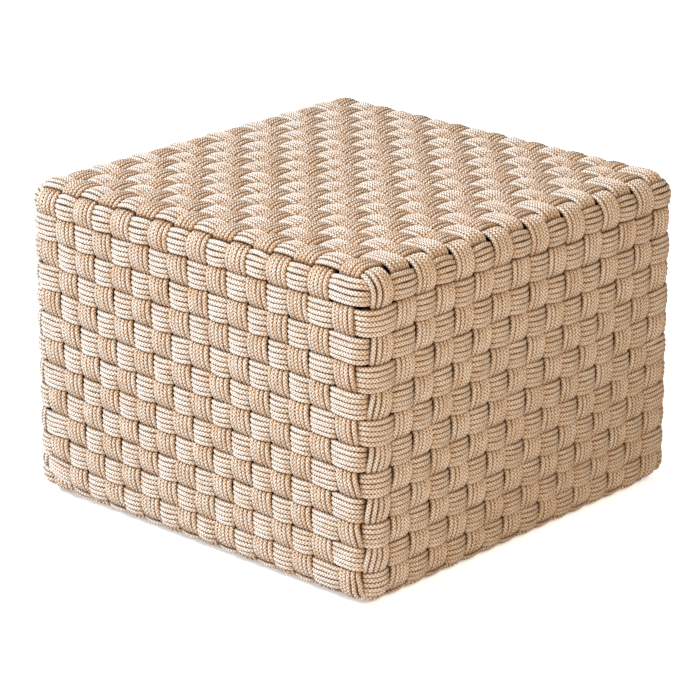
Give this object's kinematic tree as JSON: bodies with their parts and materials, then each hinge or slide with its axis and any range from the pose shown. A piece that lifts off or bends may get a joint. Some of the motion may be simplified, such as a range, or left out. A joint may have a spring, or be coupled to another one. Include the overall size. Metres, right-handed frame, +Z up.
{
  "type": "outdoor ottoman footstool",
  "caption": "Square outdoor footstool: a welded tube frame with rounded edges, covered all round in a plain basket weave of flat bands of braided rope, on low glides.",
  "frame": {"origin": "on the floor, under the middle of the footstool", "axes": "+Z up; +X to the right along the front, which faces -Y; the pictured corner is +X, -Y"},
  "size_m": [0.5, 0.5, 0.356],
  "materials": {
    "rope": "braided outdoor rope, heathered cream and tan, matt",
    "frame": "powder coat in dark bronze, satin",
    "glide": "moulded nylon, pale, matt"
  },
  "bodies": {
    "root": {"course_band_01": "rope", "course_band_02": "rope", "course_band_03": "rope", "course_band_04": "rope", "course_band_05": "rope", "course_band_06": "rope", "course_band_07": "rope", "course_band_08": "rope", "course_band_09": "rope", "course_band_10": "rope", "course_band_11": "rope", "course_band_12": "rope", "course_band_13": "rope", "front_to_back_band_01": "rope", "front_to_back_band_02": "rope", "front_to_back_band_03": "rope", "front_to_back_band_04": "rope", "front_to_back_band_05": "rope", "front_to_back_band_06": "rope", "front_to_back_band_07": "rope", "front_to_back_band_08": "rope", "front_to_back_band_09": "rope", "front_to_back_band_10": "rope", "front_to_back_band_11": "rope", "front_to_back_band_12": "rope", "front_to_back_band_13": "rope", "front_to_back_band_14": "rope", "front_to_back_band_15": "rope", "front_to_back_band_16": "rope", "side_to_side_band_01": "rope", "side_to_side_band_02": "rope", "side_to_side_band_03": "rope", "side_to_side_band_04": "rope", "side_to_side_band_05": "rope", "side_to_side_band_06": "rope", "side_to_side_band_07": "rope", "side_to_side_band_08": "rope", "side_to_side_band_09": "rope", "side_to_side_band_10": "rope", "side_to_side_band_11": "rope", "side_to_side_band_12": "rope", "side_to_side_band_13": "rope", "side_to_side_band_14": "rope", "side_to_side_band_15": "rope", "side_to_side_band_16": "rope", "top_ring": "frame", "bottom_ring": "frame", "post_01": "frame", "post_02": "frame", "post_03": "frame", "post_04": "frame", "seat_bar_01": "frame", "seat_bar_02": "frame", "glide_01": "glide", "glide_02": "glide", "glide_03": "glide", "glide_04": "glide"}
  },
  "joints": []
}
